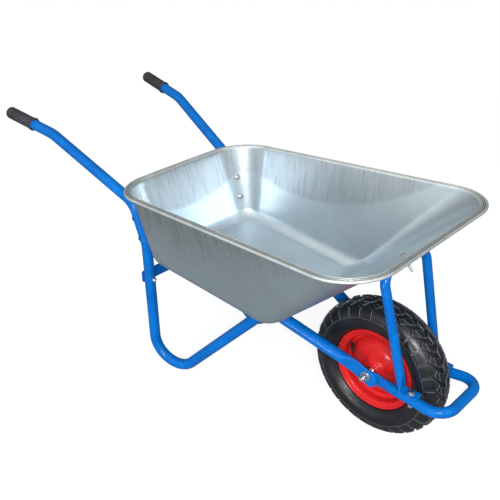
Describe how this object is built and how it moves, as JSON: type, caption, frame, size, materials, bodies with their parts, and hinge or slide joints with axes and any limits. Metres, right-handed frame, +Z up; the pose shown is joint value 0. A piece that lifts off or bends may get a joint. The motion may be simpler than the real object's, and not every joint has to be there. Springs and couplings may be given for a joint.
{
  "type": "wheelbarrow",
  "caption": "Garden wheelbarrow with a deep galvanised tray, bent blue steel-tube frame, black sleeve grips and a pneumatic wheel on a red pressed rim.",
  "frame": {"origin": "on the ground, half-way along the barrow's length and on its centre plane", "axes": "+X forward towards the wheel, +Y to the barrow's left, +Z up"},
  "size_m": [1.4548, 0.64, 0.7797],
  "materials": {
    "blue_paint": "glossy powder coat",
    "red_paint": "glossy powder coat",
    "galvanised": "galvanised sheet with drawing streaks on the upper walls",
    "zinc": "bright zinc plate",
    "tyre": "satin black rubber",
    "butyl": "matt black rubber",
    "grip": "soft black plastic"
  },
  "bodies": {
    "frame": {"tray": "galvanised", "handle_tube_left": "blue_paint", "handle_tube_right": "blue_paint", "side_tube_left": "blue_paint", "side_tube_right": "blue_paint", "cross_bar": "blue_paint", "nose_hoop": "blue_paint", "front_brace": "blue_paint", "grip_left": "grip", "grip_right": "grip", "axle": "zinc", "axle_spacer_left": "zinc", "axle_spacer_right": "zinc", "axle_washer_left": "zinc", "axle_washer_right": "zinc", "axle_nut_left": "zinc", "axle_nut_right": "zinc", "rear_wall_upper_left_bolt": "zinc", "rear_wall_upper_left_nut": "zinc", "rear_wall_upper_left_washer": "zinc", "rear_wall_upper_right_bolt": "zinc", "rear_wall_upper_right_nut": "zinc", "rear_wall_upper_right_washer": "zinc", "rear_wall_lower_left_bolt": "zinc", "rear_wall_lower_left_nut": "zinc", "rear_wall_lower_left_washer": "zinc", "rear_wall_lower_right_bolt": "zinc", "rear_wall_lower_right_nut": "zinc", "rear_wall_lower_right_washer": "zinc", "joint_left_bolt": "zinc", "joint_left_nut": "zinc", "joint_right_bolt": "zinc", "joint_right_nut": "zinc", "brace_foot_left_bolt": "zinc", "brace_foot_left_nut": "zinc", "brace_foot_right_bolt": "zinc", "brace_foot_right_nut": "zinc", "front_wall_bolt": "zinc", "front_wall_nut": "zinc"},
    "wheel": {"tyre": "tyre", "inner_tube": "butyl", "valve_stem": "butyl", "valve_cap": "butyl", "rim_left": "red_paint", "rim_right": "red_paint", "hub_tube": "red_paint", "bearing_left": "zinc", "bearing_right": "zinc"}
  },
  "joints": [
    {"name": "wheel_spin", "type": "hinge", "parent": "frame", "child": "wheel", "pos_m": [0.4715, 0, 0.195], "axis": [0, 1, 0], "continuous": true}
  ]
}
